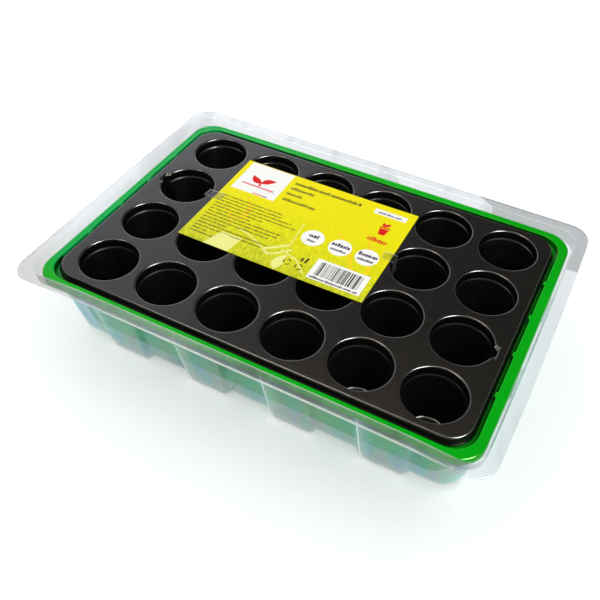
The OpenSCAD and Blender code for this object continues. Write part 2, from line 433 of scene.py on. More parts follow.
def pet_material(name, clear, haze, wall_haze, tint, shine=1.0):
    """Clear sheet: see-through, mirror-like by angle, a little milky, with a painted highlight as white
    along sharp bends.
    """
    sh = new_shader(name)
    space = sh.space()
    wave = sh.noise(sh.space((1.0, 1.0, 0.4)), 30.0, 2.0)
    normal = sh.bump(wave, 0.025, 0.0010)
    facing = sh.node("ShaderNodeLayerWeight", {"Blend": 0.5, "Normal": normal}).outputs["Facing"]
    # Schlick's curve from the facing value: the same from both sides of the sheet
    fresnel = sh.plus(sh.times(sh.math("POWER", facing, 5.0), 0.95), 0.03)
    fresnel = sh.times(fresnel, shine)

    # faint streaks of interference colour down the walls, none on the flange above or the roof below
    z = sh.split(space)["Z"]
    on_wall = sh.span(z, shoulder_z * MM, (shoulder_z - 3) * MM)
    share = sh.times(sh.times(on_wall, tint), sh.span(z, 0.004, 0.014))
    bands = sh.noise(sh.space((1.0, 1.0, 0.20)), 62.0, 2.5, 0.55)
    filtered = sh.ramp(
        bands, (0.36, 0.84, 0.92, 0.97), (0.44, 0.80, 0.96, 0.94), (0.50, 0.87, 0.96, 0.89),
        (0.56, 0.96, 0.96, 0.90), (0.62, 0.92, 0.90, 0.95), (0.68, 0.86, 0.94, 0.96))
    scattered = sh.ramp(
        bands, (0.36, 0.44, 0.68, 0.96), (0.44, 0.38, 0.77, 0.92), (0.50, 0.46, 0.78, 0.78),
        (0.55, 0.64, 0.78, 0.70), (0.59, 0.66, 0.70, 0.82), (0.64, 0.50, 0.69, 0.94),
        (0.70, 0.40, 0.76, 0.94))
    neutral = flange_clearness(sh, space, clear)
    tinted = sh.mix(1.0, neutral, filtered, "MULTIPLY")
    see_through = sh.node("ShaderNodeBsdfTransparent", {"Color": sh.mix(share, neutral, tinted)})

    # painted highlight: the sheet turns milky white where the white attribute marks a sharp bend
    bend = sh.node("ShaderNodeAttribute", attribute_name="white").outputs["Fac"]
    milk = sh.mix(share, (0.86, 0.87, 0.88, 1.0), scattered)
    milk = {"Color": sh.mix(sh.times(bend, 1.5, clamp=True), milk, (0.97, 0.98, 0.97, 1.0))}
    cloudy = sh.blend(0.5, sh.node("ShaderNodeBsdfDiffuse", milk),
                      sh.node("ShaderNodeBsdfTranslucent", milk))
    depth = sh.plus(sh.times(share, wall_haze - haze), haze)
    patch = sh.times(sh.plus(sh.times(sh.noise(space, 21.0), 0.6), 0.7), depth)
    edge = sh.times(sh.math("POWER", facing, 4.0), 0.16)
    amount = sh.plus(sh.plus(patch, edge), sh.times(bend, 0.5), clamp=True)
    body = sh.blend(amount, see_through, cloudy)

    scuffs = sh.noise(space, 150.0, 4.0, 0.6)
    gloss = sh.node("ShaderNodeBsdfGlossy", {
        "Color": sh.mix(share, WHITE, (0.72, 0.93, 0.92, 1.0)),
        "Roughness": sh.plus(sh.times(scuffs, 0.08), 0.02), "Normal": normal})
    return sh.finish(sh.blend(fresnel, body, gloss))


def outside_rim(sh, x, y, z):
    """Where the painted shade of the gap is left off: 1 outside the green rim, below the deck and along
    the left side, 0 in the gap inside it.
    """
    corner_r = 11.0
    past = []
    for value, edge in ((x, tray_high[0] - 3.4), (y, tray_high[1] - 4.2)):
        value = sh.math("SUBTRACT", sh.math("ABSOLUTE", value), (edge - corner_r) * MM)
        past.append(sh.math("POWER", sh.math("MAXIMUM", value, 0.0), 2.0))
    outside = sh.above(sh.plus(*past), (corner_r * MM) ** 2)
    left_side = sh.times(sh.math("LESS_THAN", x, -0.124), sh.above(y, -0.074))
    below = sh.math("LESS_THAN", z, (deck_z - 6.0) * MM)
    return sh.math("MAXIMUM", sh.math("MAXIMUM", outside, left_side), below)


def green_material():
    """Green sheet with a painted reflection that cools it towards the left, and painted shade that turns
    it nearly black in the narrow gap by the insert.
    """
    sh = new_shader("green_polystyrene")
    space = sh.space()
    x, y, z = sh.split(space)
    cloud = sh.noise(space, 14.0)
    warm = sh.ramp(cloud, (0.30, 0.0, 0.350, 0.003), (0.70, 0.0, 0.400, 0.009))
    cool = sh.ramp(cloud, (0.30, 0.0, 0.365, 0.058), (0.70, 0.0, 0.415, 0.080))
    # painted reflection: off the front strip, the green turns bluer towards the left as if reflecting
    # the cool box there
    leftward = sh.span(x, -0.02, -0.13)
    off_front = sh.span(y, -0.090, -0.076)
    color = sh.mix(sh.times(leftward, off_front), warm, cool)
    # painted shade: the base colour goes nearly black where openness finds the narrow gap. The clear
    # sheet close outside the rim casts no shade, so openness only counts in the gap
    openness = sh.node("ShaderNodeAmbientOcclusion", {"Distance": 0.008}, samples=8).outputs["AO"]
    lit = sh.math("MAXIMUM", sh.span(openness, 0.36, 0.74, 0.03, 1.0), outside_rim(sh, x, y, z))
    color = sh.mix(lit, (0.0, 0.004, 0.0005, 1.0), color)
    scuff = sh.noise(sh.space((1.0, 2.4, 1.0)), 120.0, 5.0, 0.62)
    normal = sh.bump(sh.noise(space, 30.0, 2.0), 0.16, 0.0014)
    normal = sh.bump(sh.noise(space, 900.0, 2.0), 0.05, 0.0002, normal)
    return sh.principled(
        Base_Color=color, Roughness=sh.plus(sh.times(scuff, 0.09), 0.10), Normal=normal, IOR=1.55,
        Specular_IOR_Level=0.25, Specular_Tint=(0.44, 0.95, 0.34, 1.0))


def black_material():
    """Black sheet with scuffs and patches of uneven tone and gloss, duller in a band round the insert's
    lip.
    """
    sh = new_shader("black_polystyrene")
    space = sh.space()
    color = sh.ramp(sh.noise(space, 22.0, 4.0),
                    (0.30, 0.0018, 0.0018, 0.0019), (0.75, 0.0050, 0.0046, 0.0040))
    scuff = sh.noise(space, 240.0, 6.0, 0.66)
    rough = sh.plus(sh.times(scuff, 0.10), 0.15)
    rough = sh.plus(rough, sh.times(sh.noise(space, 9.0), 0.08))
    normal = sh.bump(sh.noise(space, 34.0, 2.0), 0.14, 0.0016)
    normal = sh.bump(sh.noise(space, 1300.0), 0.10, 0.00012, normal)
    from_lip = sh.math("ABSOLUTE", sh.math("SUBTRACT", sh.split(space)["Z"], lip_z * MM))
    specular = sh.span(from_lip, 0.0005, 0.0010, 0.06, 0.5)
    # black plastic seen in a reflection reflects nothing more
    glossy_ray = sh.node("ShaderNodeLightPath").outputs["Is Glossy Ray"]
    specular = sh.times(specular, sh.math("SUBTRACT", 1.0, glossy_ray))
    return sh.principled(
        Base_Color=color, Roughness=rough, Normal=normal, IOR=1.53, Specular_IOR_Level=specular)


def ink_material(name, color):
    """Printed ink: nearly even colour with the press's faint mottling, under a thin varnish."""
    sh = new_shader(name)
    low = [c * 0.97 for c in color]
    high = [min(1.0, c * 1.01) for c in color]
    tint = sh.ramp(sh.noise(sh.space(), 700.0, 2.0), (0.35, *low), (0.65, *high))
    return sh.principled(Base_Color=tint, Roughness=0.32, Specular_IOR_Level=0.12)


def card_material():
    """Yellow card that turns to a grassy yellow-green towards its lower edge."""
    sh = new_shader("printed_card")
    space = sh.space()
    drop = sh.span(sh.split(space)["Y"], card_high[1] * MM, card_low[1] * MM)
    depth = sh.plus(drop, sh.times(sh.noise(space, 26.0), 0.45))
    depth = sh.math("SUBTRACT", depth, 0.26)
    pale = sh.ramp(depth, (0.00, 0.88, 0.76, 0.002), (0.35, 0.86, 0.77, 0.003),
                   (0.62, 0.82, 0.76, 0.008), (1.00, 0.66, 0.67, 0.028))
    dark = sh.ramp(depth, (0.00, 0.87, 0.75, 0.002), (0.35, 0.81, 0.74, 0.003),
                   (0.62, 0.66, 0.65, 0.006), (1.00, 0.42, 0.46, 0.018))
    blades = sh.noise(sh.space((1.0, 0.45, 1.0), turn=0.5), 520.0, 4.0, 0.7)
    blade = sh.ramp(blades, (0.38, 0.0, 0.0, 0.0), (0.60, 1.0, 1.0, 1.0))
    return sh.principled(
        Base_Color=sh.mix(blade, dark, pale), Roughness=0.30,
        Normal=sh.bump(sh.noise(space, 60.0, 2.0), 0.10, 0.0008),
        Specular_IOR_Level=0.12, Specular_Tint=(0.9, 0.85, 0.15, 1.0))


def floor_material():
    """A white sweep lit a little from within, as a light table is, so that shadows stay pale."""
    sh = new_shader("studio_floor")
    color = sh.ramp(sh.noise(sh.space(), 6.0), (0.3, 0.79, 0.79, 0.79), (0.7, 0.81, 0.81, 0.81))
    return sh.principled(Base_Color=color, Roughness=0.8, Specular_IOR_Level=0.0,
                         Emission_Color=(0.97, 0.96, 1.0, 1.0), Emission_Strength=0.30)


pet = pet_material("clear_pet", clear=0.91, haze=0.022, wall_haze=0.075, tint=1.0)
film = pet_material("clear_film", clear=0.95, haze=0.012, wall_haze=0.012, tint=0.0, shine=0.6)
green = green_material()
black = black_material()
card = card_material()


# ---- Dome lid, upturned ----

RIB_PITCH = 59.5
RIB_TOP, RIB_FOOT, RIB_ROOF, RIB_FLANK = 15.4, 12.8, 9.5, 3.3
FLANK_STEPS = 10
FLANK_PAST = 0.7
FLANK_ROUNDING = 0.35
# painted highlight along the ribs' flanks: strong on the left flanks, faint on the right ones
FLANK_HIGHLIGHT = {-1: 3.6, 1: 0.4}
ROOF_POWER = 2.4
# the two places between the flanks, from -1 to 1 across a rib's face or a recess
INNER_PLACES = (-0.34, 0.32)


def soft_edge(x, low, high, r):
    """0 before low, 1 after high, straight between, with both bends rounded over r."""
    def part(v):
        return 0.5 * (v + math.sqrt(v * v + r * r))
    return (part(x - low) - part(x - high)) / (high - low)


def rib_flank(sign):
    """Places and weights up one flank of a rib, from the recess to the rib's face."""
    rows = []
    for k in range(FLANK_STEPS + 1):
        f = k / FLANK_STEPS
        reach = mix(RIB_FLANK + FLANK_PAST, -FLANK_PAST, f)
        wall_w = soft_edge(-reach, -RIB_FLANK, 0.0, FLANK_ROUNDING)
        wall_w = 0.0 if k == 0 else 1.0 if k == FLANK_STEPS else wall_w
        turn = 0.5 * math.pi * f
        # the roof's end of the flank follows a superellipse
        power = 2 / ROOF_POWER
        roof_w = math.sin(turn) ** power
        roof_x = RIB_ROOF + (RIB_FOOT + RIB_FLANK - RIB_ROOF) * math.cos(turn) ** power
        white = max(0.0, 1 - abs(reach) / 0.8) * FLANK_HIGHLIGHT[sign]
        rows.append((sign * (RIB_TOP + reach), sign * (RIB_FOOT + reach), sign * roof_x,
                     wall_w, roof_w, white))
    return rows


def front_ribs():
    """Four ribs, with two stations on each rib's face and in each recess."""
    out = []
    for i in range(4):
        c = (i - 1.5) * RIB_PITCH
        face = [(t * RIB_TOP, t * RIB_FOOT, t * RIB_ROOF, 1.0, 1.0, 0.0) for t in INNER_PLACES]
        for top, foot, roof, wall_w, roof_w, white in rib_flank(-1) + face + rib_flank(1)[::-1]:
            out.append(station(0, c + top, c + foot, c + roof, wall_w, roof_w, white=white))
        if i < 3:
            middle = c + RIB_PITCH / 2
            out += [station(0, middle + t * 6, middle + t * 8, middle + t * 8) for t in INNER_PLACES]
    return out


def side_flutes():
    """Two shallow flutes down each short side, with the same flanks as the front's ribs."""
    out = []
    for c in (-31.0, 31.0):
        for sign in (-1, 1):
            for top, _, _, wall_w, _, white in rib_flank(sign)[::-sign]:
                reach = top - 3.6 * sign
                out.append(station(1, c + reach, c + reach * 0.85, wall_w=wall_w,
                                   height_w=(0.0, 0.0), white=0.3 * white))
    return out


FLANGE = 6.5
dome_rows, dome_bends = rounded([
    [0.00, rim_z - 0.6, 0.00, rim_z - 0.6, 13, 0, 0, 0],
    [0.10, rim_z, 0.10, rim_z, 13, 0, 0, 0],
    [FLANGE, rim_z - 0.3, FLANGE, rim_z - 0.3, 11, 0, 0, 0],
    [FLANGE + 0.8, shoulder_z, FLANGE + 0.8, shoulder_z, 11, 0, 0, 0],
    [FLANGE + 10.4, shoulder_z, FLANGE + 7.4, shoulder_z, 13, 5.9, 0, 0],
    [FLANGE + 18.7, 11.0, FLANGE + 16.0, 11.0, 14.5, 10.1, 0.86, 0],
    [FLANGE + 19.7, 6.0, FLANGE + 17.9, 0.0, 14.5, 10.3, 1, 0.8],
    [FLANGE + 25.0, 6.0, FLANGE + 25.0, 0.0, 11, 10.3, 1, 1],
], [0, 0.30, 0.5, 1.1, 1.1, 2.5, 4.4, 0], arc=5, straight=[2, 2, 3, 3, 10, 2, 2])

# painted highlight: how white each bend of the front turns, by its row in the list above
BEND_HIGHLIGHT = {1: 1.0, 2: 1.0, 4: 0.25, 6: 0.3}
dome_highlight = [BEND_HIGHLIGHT.get(bend, 0.0) * near for bend, near in dome_bends]
dome_highlight[0] = 1.0
bend_of = [bend for bend, _ in dome_bends]
on_wall = range(bend_of.index(4) + 2, bend_of.index(6) + 3)
dome_front, dome_right = front_ribs(), side_flutes()
dome_sheet = Sheet()
roof_ring = loft(dome_sheet, outline(dome_front, dome_right), dome_high[:2], dome_rows, dome_highlight,
                 on_wall)
close_floor(dome_sheet, roof_ring, len(dome_front), len(dome_right), 24)


def dome_warp(x, y, z):
    """The soft lid is not quite straight: its front rim leans in and its right rim leans out."""
    if y < 0:
        pull = float(np.interp(z, [46, shoulder_z, 65], [0, 0.9, 2.3]))
        y += pull * flat_top(x, dome_high[0] - 7, 8)
    if x > 0:
        x += float(np.interp(z, [50, 62], [0, 1.2])) * flat_top(y, dome_high[1] - 9)
    return x, y, z


dome_sheet.warp(dome_warp)
assign(sheet_object("dome_sheet", dome_sheet, DOME_WALL, pet, up=False), "lid", "dome")


# ---- Drip tray ----

RIM = 5.2
STOP_OUT = 1.1
STOP_PITCH, STOP_L = 31.8, 4.0
tray_half = tray_high[:2] - 0.3
tray_top = tray_high[2]
tray_floor = tray_low[2] + TRAY_WALL
ledge_z = deck_z - 4.8


def side_stops():
    """Four small stops along each short side, each with its rounded outline."""
    half = [(-0.56, 0), (-0.47, 0.15), (-0.36, 0.9), (-0.28, 1.0)]
    outline_of_stop = half + [(0, 1.0)] + [(-at, w) for at, w in reversed(half)]
    out = []
    for i in range(4):
        c = (i - 1.5) * STOP_PITCH
        out += [station(1, c + at * STOP_L, wall_w=w, height_w=(0, 0)) for at, w in outline_of_stop]
        if i < 3:
            out.append(station(1, c + STOP_PITCH / 2))
    return out


def plain(inset, z, radius, spread=0.0, stop=0.0):
    """A row of the tray's loft; the stops stand in by stop."""
    return [inset, z, inset + stop, z, radius, spread, 0, 0]


tray_rows, _ = rounded([
    plain(-0.3, shoulder_z + 0.6, 15),
    plain(0.0, tray_top - 0.02, 15),
    plain(2.4, tray_top, 15),
    plain(2.8, tray_top - 0.12, 15),
    plain(RIM - 0.1, tray_top, 14, 0, STOP_OUT),
    plain(RIM + 0.1, tray_top - 1.4, 14, 0, STOP_OUT),
    plain(RIM + 0.6, ledge_z, 14),
    plain(RIM + 5, ledge_z, 13),
    plain(RIM + 12.9, tray_floor, 13.5, 3.6),
    plain(RIM + 17, tray_floor, 11, 3.6),
], [0, 1.2, 0.9, 0.9, 0.6, 0.4, 0.5, 0.8, 1.4, 0], arc=4, straight=[3, 1, 1, 1, 1, 2, 2, 8, 1])

tray_front = [station(0, x) for x in np.linspace(-110, 110, 25)]
tray_right = side_stops()
tray_sheet = Sheet()
floor_ring = loft(tray_sheet, outline(tray_front, tray_right), tray_half, tray_rows)
close_floor(tray_sheet, floor_ring, len(tray_front), len(tray_right), 20)


def tray_warp(x, y, z):
    """The rim follows the lid: pressed in along the front, pushed out a little at the back."""
    high = float(smooth((z - 50) / 8))
    inset = tray_half[1] - abs(y)
    share = flat_top(x, 132) * high
    push = [2.0, 0.3, 0.0, 0.0] if y < 0 else [0.7, 0.1, 0.0, 0.0]
    y += float(np.interp(inset, [0, 5, 8, 12], push)) * share
    if x > 0:
        x += float(np.interp(tray_half[0] - x, [0, 5, 8], [0.8, 0.1, 0.0])) * flat_top(y, 92) * high
    return x, y, z


tray_sheet.warp(tray_warp)
assign(sheet_object("tray_sheet", tray_sheet, TRAY_WALL, green, up=True), "tray",
       "drip_tray")


# ---- Plug insert ----

LIP_W = 1.5
PITCH = 42.8
COLUMNS, ROWS = 6, 4
MOUTH_R, FLOOR_R, DEPTH = 18.25, 11.5, 36.5
STEP_DROP, STEP_IN = 5.5, 0.9
DECK_R = 13.7
EDGE_R = 1.5
AROUND = 64
# finger notches by column and row, with the side they open to
NOTCHES = {(5, 1): 1, (0, 2): -1}
NOTCH_HALF, NOTCH_OUT, NOTCH_DEPTH = 4.75, 2.0, 24.0
deck_half = insert_high[:2] - LIP_W


def cell_rows():
    """[radius offset from the mouth, z], from the deck over the rim and down to the floor."""
    foot = FLOOR_R - MOUTH_R
    rows = [
        [2.2, 0.0], [0.0, 0.0], [-0.12, -STEP_DROP], [-STEP_IN, -STEP_DROP - 1.1],
        [mix(-STEP_IN, foot, 0.585), -NOTCH_DEPTH], [foot, -DEPTH], [foot - 5, -DEPTH],
    ]
    return rounded(rows, [0, 1.1, 0.8, 0.7, 0.3, 1.2, 0], arc=4, straight=[2, 3, 1, 6, 4, 1])[0]


CELL_ROWS = cell_rows()


def notch_radius(angle, grow):
    """Distance from the cell's axis to the notch's pocket wall at this angle, 0 outside it."""
    c, s = math.cos(angle), abs(math.sin(angle))
    if c <= 0:
        return 0.0
    reach = (MOUTH_R + NOTCH_OUT + grow) / c
    return reach if reach * s <= NOTCH_HALF + grow + 1e-6 else 0.0


def cell_angles(notch):
    """Even angles round a cell, four of them moved to its notch's corners."""
    angles = [2 * math.pi * k / AROUND for k in range(AROUND)]
    if notch:
        outer = math.atan2(NOTCH_HALF, MOUTH_R + NOTCH_OUT)
        inner = math.asin(NOTCH_HALF / MOUTH_R) + 0.012
        base, middle = (0, 0) if notch > 0 else (AROUND // 2, math.pi)
        for sign in (-1, 1):
            for step, value in ((2, outer), (3, inner)):
                angles[(base + sign * step) % AROUND] = middle + sign * value
    return angles


def corner_point(c, s, limit_x, limit_y):
    """Where a ray in the first quadrant meets the deck's rounded corner, and the outline's normal."""
    to_x, to_y = limit_x / max(c, 1e-9), limit_y / max(s, 1e-9)
    reach = min(to_x, to_y)
    normal = (1, 0) if to_x <= to_y else (0, 1)
    ax, ay = limit_x - DECK_R, limit_y - DECK_R
    if reach * c > ax and reach * s > ay:
        dot = ax * c + ay * s
        reach = dot + math.sqrt(dot * dot - (ax * ax + ay * ay - DECK_R * DECK_R))
        normal = ((reach * c - ax) / DECK_R, (reach * s - ay) / DECK_R)
    return reach * c, reach * s, normal


def deck_point(centre, angle, column, row):
    """The cell's deck boundary: its own square, or the deck's outline and normal on an outer side."""
    c, s = math.cos(angle), math.sin(angle)
    reach = PITCH / 2 / max(abs(c), abs(s))
    side_x = 1 if column == COLUMNS - 1 and c > 0 else -1 if column == 0 and c < 0 else 0
    side_y = 1 if row == ROWS - 1 and s > 0 else -1 if row == 0 and s < 0 else 0
    if side_x and side_y:
        x, y, normal = corner_point(abs(c), abs(s), deck_half[0] - abs(centre[0]),
                                    deck_half[1] - abs(centre[1]))
        return (centre[0] + side_x * x, centre[1] + side_y * y,
                (normal[0] * side_x, normal[1] * side_y))
    if side_x and abs(c) >= abs(s) - 1e-9:
        return side_x * deck_half[0], centre[1] + reach * s, (side_x, 0)
    if side_y and abs(s) >= abs(c) - 1e-9:
        return centre[0] + reach * c, side_y * deck_half[1], (0, side_y)
    return centre[0] + reach * c, centre[1] + reach * s, None


def cell(sheet, column, row):
    """A cell with its part of the deck; gives back its places on the deck's edge, with normals."""
    centre = ((column - (COLUMNS - 1) / 2) * PITCH, (row - (ROWS - 1) / 2) * PITCH)
    notch = NOTCHES.get((column, row), 0)
    deck, on_edge = [], []
    for k in range(AROUND):
        x, y, normal = deck_point(centre, 2 * math.pi * k / AROUND, column, row)
        if normal:
            x -= normal[0] * EDGE_R
            y -= normal[1] * EDGE_R
            on_edge.append((x, y, normal))
        deck.append((x, y, deck_z))
    ring = sheet.add(deck)
    for index, (grow, z) in enumerate(CELL_ROWS):
        points = []
        for angle in cell_angles(notch):
            radius = MOUTH_R + grow
            if notch and z > -NOTCH_DEPTH + 0.01:
                turned = angle if notch > 0 else angle - math.pi
                radius = max(radius, notch_radius(turned, min(max(grow, -0.1), 1.1)))
            points.append((centre[0] + radius * math.cos(angle),
                           centre[1] + radius * math.sin(angle), deck_z + z))
        if index == 0:
            ring = sheet.ring(mix(np.array(deck), np.array(points), 0.5), ring)
        ring = sheet.ring(points, ring)
    floor_z = deck_z - DEPTH
    ring = sheet.ring([(mix(centre[0], sheet.points[i][0], 0.66),
                        mix(centre[1], sheet.points[i][1], 0.66), floor_z) for i in ring], ring)
    hub = sheet.add([(*centre, floor_z)])[0]
    for i in range(AROUND):
        sheet.faces.append((ring[i], ring[(i + 1) % AROUND], hub))
    return on_edge


def in_order(places):
    """The places in order round the deck, each only once."""
    out = []
    for place_at in sorted(places, key=lambda p: math.atan2(p[1], p[0])):
        if not out or math.dist(place_at[:2], out[-1][:2]) > 0.02:
            out.append(place_at)
    if math.dist(out[0][:2], out[-1][:2]) < 0.02:
        out.pop()
    return out


def skirt(sheet, edge):
    """The rounded edge of the deck, the skirt below it and the lip at its foot."""
    rows, _ = rounded([[-EDGE_R, 0.0], [0.0, 0.0], [0.9, -LIP_DROP], [LIP_W, -LIP_DROP]],
                      [0, EDGE_R * 0.98, 0.3, 0], arc=6, straight=[1, 2, 2])
    rings = [sheet.add([(x + n[0] * (out + EDGE_R), y + n[1] * (out + EDGE_R), deck_z + z)
                        for x, y, n in edge]) for out, z in rows]
    for inner, outer in zip(rings[:-1], rings[1:]):
        sheet.bridge(outer, inner)


def insert_warp(x, y, z):
    """The left end of the deck and its skirt stand a little further out than the rest."""
    if z > deck_z - 6:
        x -= 0.9 * float(smooth((-x - 127) / 5))
    return x, y, z


insert_sheet = Sheet()
deck_edge = []
for column in range(COLUMNS):
    for row in range(ROWS):
        deck_edge += cell(insert_sheet, column, row)
skirt(insert_sheet, in_order(deck_edge))
insert_sheet.warp(insert_warp)
assign(sheet_object("insert_sheet", insert_sheet, INSERT_WALL, black, up=True, sharp=50), "insert",
       "cell_insert")


# ---- Label card and its print ----

# Print is placed in cell pitches from the insert's middle; strokes are as thick as given in mm.
P = PITCH
LAYER_STEP, INK, INK_GAIN = 0.006, 0.010, 0.002
card_centre = (card_low + card_high) / 2
card_size = card_high - card_low


def card_lift(x, y):
    """How far the card stands off its flat place: its corners curl a little."""
    u = (x - card_centre[0]) / (card_size[0] / 2)
    v = (y - card_centre[1]) / (card_size[1] / 2)
    curl = max(0.0, abs(u) + abs(v) - 1.25) ** 2
    return 0.9 * curl * (1.0 if u > 0 else 0.6) + 0.05 * (1 + math.sin(3.1 * u + 1.3 * v))


def slab(sheet, grid, base, thick):
    """Closed thin slab over a grid of (x, y), following the card, between two offsets from it."""
    def raised(line, offset):
        return sheet.add([(x, y, card_high[2] + card_lift(x, y) + offset) for x, y in line])

    def wall(a, b, flip):
        for i in range(len(a) - 1):
            face = (a[i], b[i], b[i + 1], a[i + 1])
            sheet.faces.append(face[::-1] if flip else face)

    top, bottom = [], []
    for line in grid:
        top.append(raised(line, base + thick))
        bottom.append(raised(line, base))
    for r in range(len(grid) - 1):
        for c in range(len(grid[0]) - 1):
            sheet.faces.append((top[r][c], top[r][c + 1], top[r + 1][c + 1], top[r + 1][c]))
            sheet.faces.append((bottom[r][c], bottom[r + 1][c], bottom[r + 1][c + 1], bottom[r][c + 1]))
    wall(top[0], bottom[0], False)
    wall(top[-1], bottom[-1], True)
    for c, flip in ((0, True), (-1, False)):
        wall([line[c] for line in top], [line[c] for line in bottom], flip)


def rectangle(x0, y0, x1, y1, step=6.0, lean=0.0):
    """Grid over a rectangle, its far edge moved sideways by lean."""
    columns = max(1, math.ceil((x1 - x0) / step))
    rows = max(1, math.ceil((y1 - y0) / step))
    return [[(mix(x0, x1, c / columns) + lean * r / rows, mix(y0, y1, r / rows))
             for c in range(columns + 1)] for r in range(rows + 1)]


def strip(points, widths):
    """Grid along a line of points, with a width at each one."""
    lines = [[], []]
    for i, (x, y) in enumerate(points):
        a = points[max(0, i - 1)]
        b = points[min(len(points) - 1, i + 1)]
        d = math.hypot(b[0] - a[0], b[1] - a[1])
        nx, ny = -(b[1] - a[1]) / d, (b[0] - a[0]) / d
        w = widths[i] / 2
        lines[0].append((x - nx * w, y - ny * w))
        lines[1].append((x + nx * w, y + ny * w))
    return lines


def scaled(points):
    """Points given in pitches, in millimetres."""
    return [(x * P, y * P) for x, y in points]


def disc(x, y, r, rows=20):
    """A disc as a grid: chords across it, pinched to its first and last points."""
    lines = []
    for i in range(rows + 1):
        angle = math.pi * i / rows
        half = max(math.sin(angle), 0.004) * r
        lines.append([(x + half * (k / 5 - 1), y - math.cos(angle) * r) for k in range(11)])
    return lines


def leaf(x, y, length, width, angle, steps=10):
    """A pointed leaf from its stalk, placed in pitches and sized in millimetres."""
    c, s = math.cos(angle), math.sin(angle)
    points, widths = [], []
    for i in range(steps + 1):
        t = i / steps
        bend = 0.10 * length * math.sin(math.pi * t)
        points.append((x * P + c * length * t - s * bend, y * P + s * length * t + c * bend))
        widths.append(max(0.03, width * math.sin(math.pi * t ** 0.8)))
    return strip(points, widths)


random.seed(24)
prints = {}


def draw(color, grid, layer=2):
    sheet = prints.setdefault(color, Sheet())
    slab(sheet, grid, LAYER_STEP * layer, INK + INK_GAIN * layer)


def panel(color, x0, y0, x1, y1, layer=2, lean=0.0):
    """A printed rectangle, its corners in pitches."""
    draw(color, rectangle(x0 * P, y0 * P, x1 * P, y1 * P, lean=lean), layer)


def word_line(color, x0, x1, y, height, layer=2, gap=0.55, letter=0.62):
    """A line of small uneven strokes in word-like groups: it says nothing."""
    x, x1, y = x0 * P, x1 * P, y * P
    while x < x1 - 0.6:
        end = min(x1, x + random.uniform(2.2, 7.0) * height)
        cursor = x
        while cursor < end:
            width = random.uniform(0.30, 0.62) * height * letter
            tall = height * random.choice((0.70, 0.70, 0.78, 1.0))
            draw(color, rectangle(cursor, y, min(cursor + width, end + 0.1), y + tall), layer)
            cursor += width + 0.12 * height
        x = end + gap * height


def background_plants():
    """Pale leaves, stalks and a pot behind the print."""
    for x, y, length, width, angle in (
            (0.05, 0.70, 1.15, 2.6, -0.95), (0.35, 0.95, 0.95, 1.7, -1.02),
            (-1.55, 0.78, 0.75, 2.2, -1.15), (-1.28, 0.60, 0.62, 1.8, -1.9),
            (0.62, 0.62, 0.85, 2.4, -1.25), (-1.70, 0.30, 0.45, 1.6, -0.7)):
        draw("orange", leaf(x, y, length * P, width, angle), 1)
    for points, width in (
            ([(-0.40, 0.55), (-0.38, 0.30), (-0.36, 0.0)], 0.7),
            ([(-1.25, 0.0), (-0.95, -0.09), (-0.70, -0.22)], 1.0),
            ([(-0.36, 0.02), (-0.50, -0.10), (-0.68, -0.24)], 1.9),
            ([(-0.68, -0.24), (-0.56, -0.30), (-0.42, -0.20), (-0.28, -0.06)], 1.6),
            ([(-0.42, -0.12), (-0.12, -0.22), (0.08, -0.42)], 1.1)):
        line = np.array(scaled(points))
        dense = [mix(a, b, k / 6) for a, b in zip(line[:-1], line[1:]) for k in range(6)]
        dense.append(line[-1])
        draw("cream", strip(dense, [width] * len(dense)), 1)
    draw("cream", leaf(-0.33, -0.54, 0.36 * P, 7.0, 1.45), 1)
    draw("cream", [scaled([(mix(x0, x1, c / 8), y) for c in range(9)])
                   for x0, x1, y in ((-1.52, -1.10, -0.545), (-1.40, -1.05, -0.20))], 1)


def seedling_box():
    """The white box at the top left, with a generic seedling."""
    panel("white", -1.87, 0.80, -1.09, 1.545)
    for angle in (2.55, 0.6):
        draw("red", leaf(-1.48, 1.10, 11.0, 5.2, angle), 3)
    draw("red", strip(scaled([(-1.48, 1.02), (-1.483, 1.07), (-1.48, 1.13)]), [1.4] * 3), 3)
    panel("red", -1.78, 0.985, -1.20, 1.01, 3)
    panel("grey", -1.32, 0.955, -1.16, 0.965, 3)
    panel("red", -1.48, 0.815, -1.30, 0.835, 3)
    panel("violet", -1.295, 0.815, -1.22, 0.835, 3)


def title_lines():
    word_line("brown", -0.99, 0.17, 1.345, 3.1, gap=0.30)
    for x0, x1, y in ((-1.00, -0.59, 1.205), (-1.00, -0.73, 1.060), (-0.99, -0.42, 0.905)):
        word_line("olive", x0, x1, y, 2.9, gap=0.3)


def right_marks():
    """A strip at the top right, a pot with a seedling, and three discs."""
    panel("white", 0.41, 1.315, 0.945, 1.435)
    word_line("violet", 0.48, 0.88, 1.345, 2.0, 3, gap=0.2)
    draw("red", [scaled([(0.672, 0.885), (0.768, 0.885)]), scaled([(0.645, 1.03), (0.795, 1.03)])])
    panel("red", 0.635, 1.045, 0.805, 1.075)
    for angle in (2.2, 0.94):
        draw("red", leaf(0.72, 1.085, 4.6, 2.4, angle))
    word_line("red", 0.57, 0.88, 0.70, 4.0, gap=0.15)
    for x, half in ((-0.135, 0.075), (0.315, 0.145), (0.75, 0.145)):
        draw("white", disc(x * P, 0.325 * P, 0.178 * P))
        word_line("violet", x - half, x + half, 0.335, 3.2, 3, gap=0.2, letter=0.9)
        word_line("violet", x - half * 0.85, x + half * 0.85, 0.235, 2.2, 3, gap=0.2, letter=0.8)


def small_print():
    """The ragged block of small lines at the left."""
    ends = (-0.79, -0.78, -0.57, -0.45, -0.98, -1.15, -0.60, -0.58, -0.72, -1.40, -0.65, -0.72,
            -1.62, -1.16)
    for i, end in enumerate(ends):
        start = -1.85 if i == 13 else -1.86 if i > 10 else -1.87
        word_line("olive", start, end, 0.560 - i * 0.0735, 1.35)


